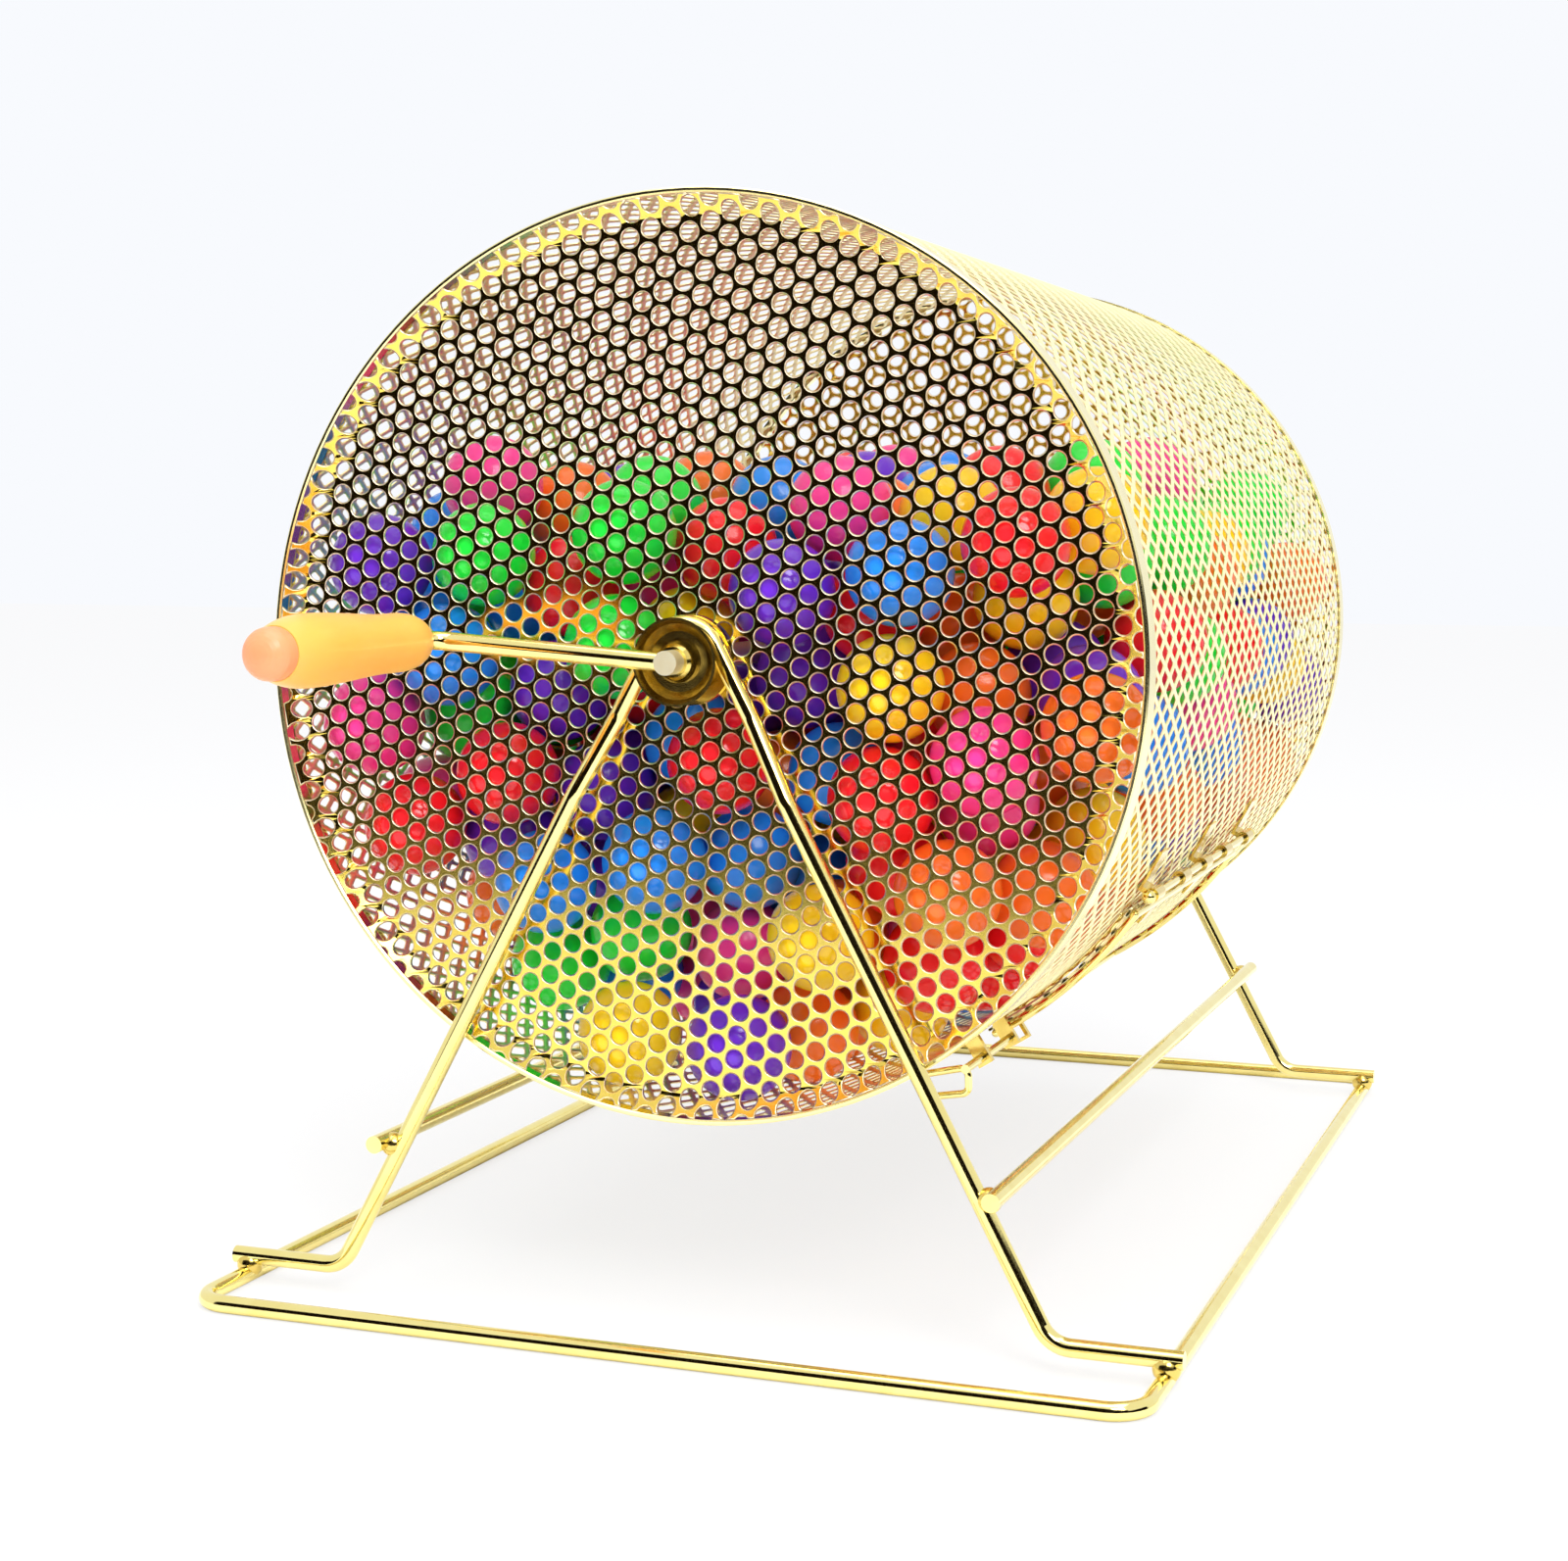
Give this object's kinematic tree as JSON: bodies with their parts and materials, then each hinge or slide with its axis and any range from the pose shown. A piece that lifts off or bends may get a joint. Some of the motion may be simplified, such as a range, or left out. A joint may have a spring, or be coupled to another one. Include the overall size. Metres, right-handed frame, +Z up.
{
  "type": "raffle drum",
  "caption": "Round perforated raffle drum of coloured balls on a bent-wire stand, turned by a side crank with a moulded grip, with a hinged wall door and slide bolt.",
  "frame": {"origin": "centre of the rectangular base loop, on the resting plane", "axes": "+Z up, drum axle along Y, crank end towards -Y, door on the +X side"},
  "size_m": [0.337, 0.5947, 0.376],
  "materials": {
    "brass_plated_steel": "polished brass plating over steel",
    "brass_plated_mesh": "pale brass plating over flattened expanded steel mesh",
    "brass_plated_perforated_sheet": "polished brass plating over perforated steel sheet",
    "zinc_steel": "bright zinc plating",
    "cream_plastic": "smooth moulded cream plastic, satin gloss",
    "peach_plastic": "smooth moulded peach plastic, satin gloss",
    "red_ball_plastic": "glossy moulded red plastic",
    "orange_ball_plastic": "glossy moulded orange plastic",
    "yellow_ball_plastic": "glossy moulded yellow plastic",
    "green_ball_plastic": "glossy moulded green plastic",
    "blue_ball_plastic": "glossy moulded blue plastic",
    "purple_ball_plastic": "glossy moulded purple plastic",
    "pink_ball_plastic": "glossy moulded pink plastic"
  },
  "bodies": {
    "stand": {"base_loop": "brass_plated_steel", "front_leg_frame": "brass_plated_steel", "rear_leg_frame": "brass_plated_steel", "left_side_rail": "brass_plated_steel", "right_side_rail": "brass_plated_steel", "front_bearing_sleeve": "brass_plated_steel", "rear_bearing_sleeve": "brass_plated_steel", "foot_weld_beads": "brass_plated_steel", "rail_weld_beads": "brass_plated_steel", "sleeve_weld_beads": "brass_plated_steel"},
    "drum": {"drum_axle": "brass_plated_steel", "front_end_sheet": "brass_plated_perforated_sheet", "rear_end_sheet": "brass_plated_perforated_sheet", "front_rim": "brass_plated_steel", "rear_rim": "brass_plated_steel", "drum_wall": "brass_plated_mesh", "door_surround": "brass_plated_steel", "drum_hinge_eyes": "brass_plated_steel", "hinge_rod": "brass_plated_steel", "bolt_keepers": "brass_plated_steel", "hub_outer_washers": "brass_plated_steel", "hub_inner_washers": "zinc_steel", "hub_nuts": "zinc_steel", "front_cup_washer": "brass_plated_steel", "front_collar": "brass_plated_steel", "rear_cup_washer": "brass_plated_steel", "rear_cap_nut": "brass_plated_steel", "crank_arm": "brass_plated_steel", "grip_retainer": "zinc_steel"},
    "door": {"door_panel": "brass_plated_mesh", "door_frame": "brass_plated_steel", "door_hinge_eyes": "brass_plated_steel", "door_staple": "brass_plated_steel"},
    "latch": {"latch_bolt": "brass_plated_steel"},
    "grip": {"grip": "cream_plastic", "grip_end_cap": "peach_plastic"},
    "ball_load": {"balls_red": "red_ball_plastic", "balls_orange": "orange_ball_plastic", "balls_yellow": "yellow_ball_plastic", "balls_green": "green_ball_plastic", "balls_blue": "blue_ball_plastic", "balls_purple": "purple_ball_plastic", "balls_pink": "pink_ball_plastic"}
  },
  "joints": [
    {"name": "drum_spin", "type": "hinge", "parent": "stand", "child": "drum", "pos_m": [0, 0, 0.222], "axis": [0, 1, 0], "continuous": true},
    {"name": "grip_spin", "type": "hinge", "parent": "drum", "child": "grip", "pos_m": [-0.08579, -0.26, 0.228], "axis": [0, 1, 0], "continuous": true},
    {"name": "door_hinge", "type": "hinge", "parent": "drum", "child": "door", "pos_m": [0.13433, -0.0175, 0.13806], "axis": [0, -1, 0], "range_deg": [0, 100]},
    {"name": "latch_slide", "type": "slide", "parent": "drum", "child": "latch", "axis": [0, 1, 0], "range_m": [0, 0.014]},
    {"name": "ball_swing", "type": "hinge", "parent": "stand", "child": "ball_load", "pos_m": [0, 0, 0.222], "axis": [0, 1, 0], "range_deg": [-30, 30]}
  ]
}
